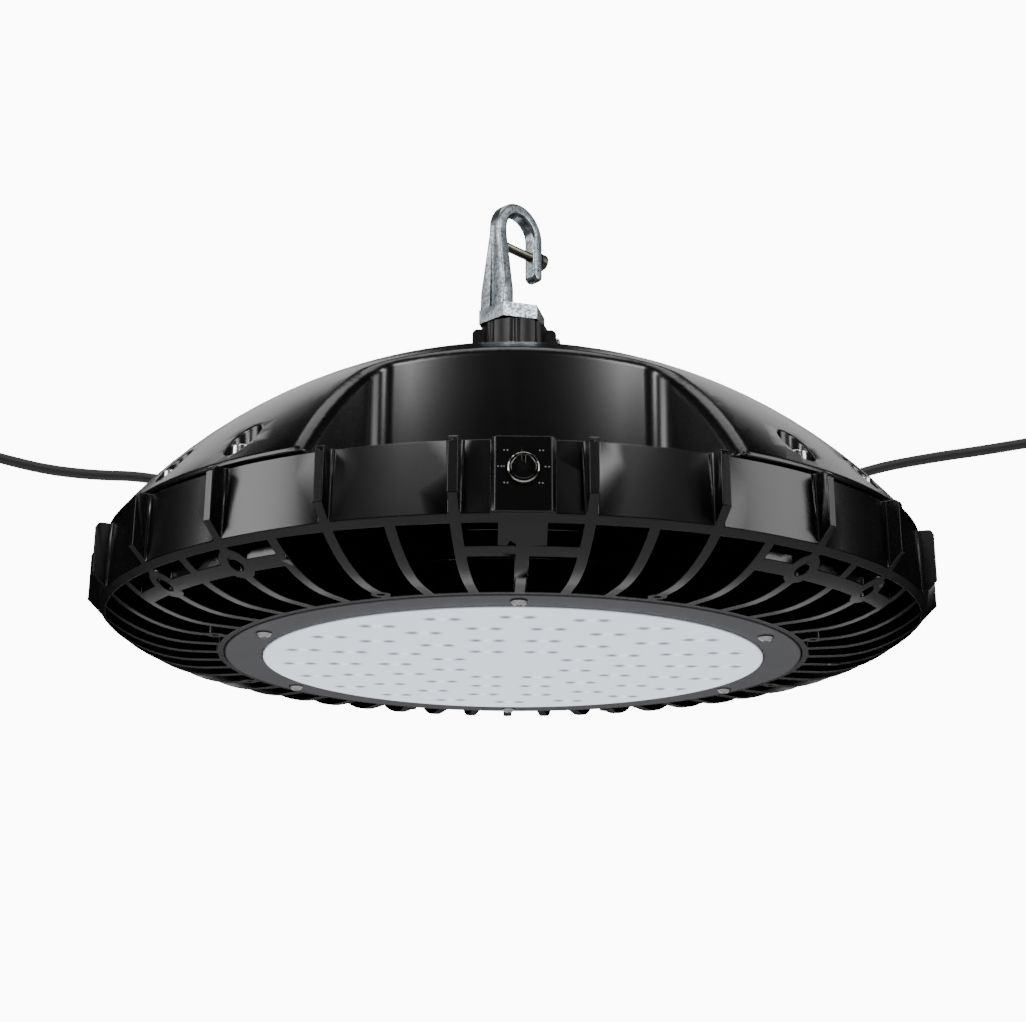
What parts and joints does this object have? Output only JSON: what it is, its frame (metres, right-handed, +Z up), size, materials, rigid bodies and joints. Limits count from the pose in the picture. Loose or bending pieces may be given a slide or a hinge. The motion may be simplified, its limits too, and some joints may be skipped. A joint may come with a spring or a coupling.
{
  "type": "high bay light",
  "caption": "Round pendant high bay light with a finned heatsink rim, domed cover, frosted flat lens, selector dial and top hook.",
  "frame": {"origin": "inner top of the hook's bow, where it hangs on its ring or bar, on the light's axis", "axes": "+Z up along the light's axis, -Y toward the selector dial, +X to the right seen from the dial"},
  "size_m": [0.7802, 0.4433, 0.2527],
  "materials": {
    "bare_aluminium": "extruded",
    "black_casting": "satin black powder coat on cast aluminium",
    "black_gloss": "moulded acetal",
    "black_plastic": "moulded nylon",
    "black_steel": "satin black paint",
    "block_plastic": "moulded nylon",
    "board_green": "glass-epoxy laminate",
    "board_white": "white solder mask",
    "brass": "nickel-free brass",
    "bright_ring": "turned, clear anodised",
    "bright_screw": "stainless steel",
    "can": "sleeved can",
    "emitter": "yellow phosphor",
    "frosted_lens": "frosted polycarbonate",
    "galvanised": "hot-dip galvanised",
    "grey_casting": "dark grey satin coat",
    "lead_rubber": "matt rubber sheath",
    "pad_rubber": "soft grey heat pad",
    "seal_rubber": "matt silicone rubber",
    "sheet_steel": "zinc-plated sheet",
    "winding": "ferrite and tape"
  },
  "bodies": {
    "housing": {"bezel_ring": "grey_casting", "bezel_screws": "bright_screw", "board_screws": "bright_screw", "breather_vent": "black_plastic", "collar_nut": "sheet_steel", "collar_washer": "sheet_steel", "cover_gasket": "seal_rubber", "cover_screws": "bright_screw", "dome_cover": "black_casting", "driver_board": "board_green", "driver_capacitors": "can", "driver_heat_sink": "bare_aluminium", "driver_lid": "sheet_steel", "driver_screws": "bright_screw", "driver_transformer": "winding", "driver_tray": "sheet_steel", "gland_bodies": "black_plastic", "gland_cap_nuts": "black_plastic", "gland_locknuts": "brass", "gland_seals": "seal_rubber", "heat_pad": "pad_rubber", "heatsink": "black_casting", "hook": "galvanised", "hook_collar": "black_steel", "hook_keeper_screw": "bright_screw", "hook_lock_screw": "bright_screw", "led_board": "board_white", "led_emitters": "emitter", "left_connector": "black_plastic", "left_lead": "lead_rubber", "left_strain_relief": "lead_rubber", "lens": "frosted_lens", "lens_gasket": "seal_rubber", "pod_lid": "black_plastic", "right_connector": "black_plastic", "right_lead": "lead_rubber", "right_strain_relief": "lead_rubber", "selector_ring": "bright_ring", "selector_switch": "black_plastic", "terminal_block": "block_plastic", "terminal_screws": "brass"},
    "selector_dial": {"selector_dial": "black_gloss"}
  },
  "joints": [
    {"name": "dial_turn", "type": "hinge", "parent": "housing", "child": "selector_dial", "pos_m": [0, -0.203, -0.2089], "axis": [0, -1, 0], "range_deg": [-132, 132]}
  ]
}
